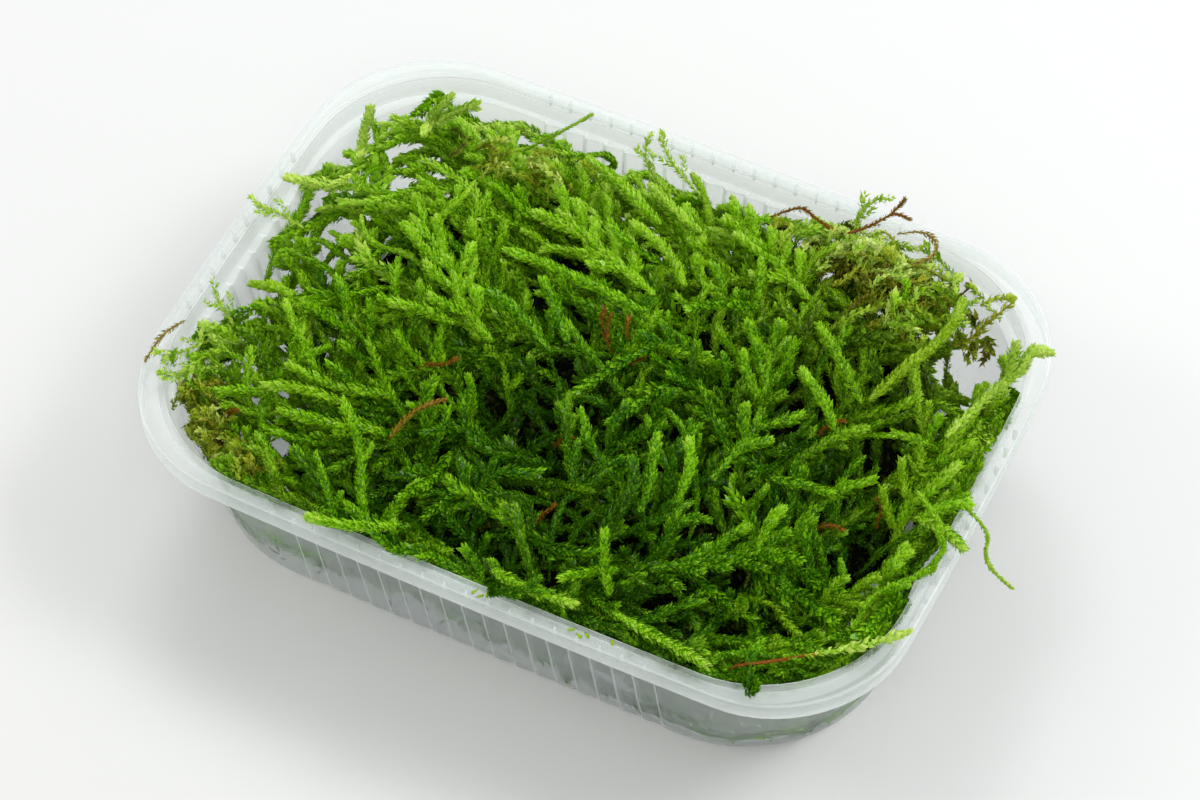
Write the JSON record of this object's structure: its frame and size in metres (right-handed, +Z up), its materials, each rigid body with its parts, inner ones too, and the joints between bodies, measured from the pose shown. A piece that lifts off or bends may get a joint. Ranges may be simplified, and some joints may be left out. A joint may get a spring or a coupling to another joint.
{
  "type": "moss clump in a tub",
  "caption": "Packed clump of feather moss with loose shoots and old stems, held in a shallow rounded plastic tub with pleated walls and a wide rim.",
  "frame": {"origin": "middle of the tub's underside, on the surface the tub stands on", "axes": "+X along the tub's long side, +Z up out of the moss"},
  "size_m": [0.1895, 0.13, 0.0541],
  "materials": {
    "clear_plastic": "milky see-through moulded plastic, satin",
    "moss_green": "dense damp leafy moss",
    "moss_tips": "bright damp leafy shoot",
    "old_stem": "bare damp stem"
  },
  "bodies": {
    "root": {"tub": "clear_plastic", "moss_bed": "moss_green", "frond_back_left": "moss_tips", "frond_back_long": "moss_tips", "frond_back_right": "moss_tips", "frond_back_tips": "moss_tips", "frond_left_lower": "moss_tips", "frond_left_upper": "moss_tips", "frond_low_right": "moss_tips", "frond_mid_left": "moss_tips", "frond_right_back": "moss_tips", "frond_right_centre": "moss_tips", "frond_right_low": "moss_tips", "frond_right_rim": "moss_tips", "shoot_back_left": "moss_tips", "shoot_centre_bar": "moss_tips", "shoot_centre_cross": "moss_tips", "shoot_centre_low": "moss_tips", "shoot_front_corner": "moss_tips", "shoot_front_left": "moss_tips", "shoot_front_mid": "moss_tips", "shoot_front_rim": "moss_tips", "shoot_front_upright": "moss_tips", "shoot_left_rim": "moss_tips", "shoot_low_left": "moss_tips", "shoot_right_inner": "moss_tips", "shoot_right_rim": "moss_tips", "sprig_back_right": "moss_tips", "sprig_left_rim": "moss_tips", "sprig_left_tip": "moss_tips", "stem_back_right": "old_stem", "stem_centre_brown": "old_stem", "stem_front_corner": "old_stem", "stem_left_golden": "old_stem", "stem_right_pointed": "old_stem", "strand_back_dark": "moss_tips", "strand_back_loop": "moss_tips", "strand_back_pair_a": "moss_tips", "strand_back_pair_b": "moss_tips", "strand_left_lower": "moss_tips", "strand_left_upper": "moss_tips", "strand_right_hanging": "moss_tips"}
  },
  "joints": []
}
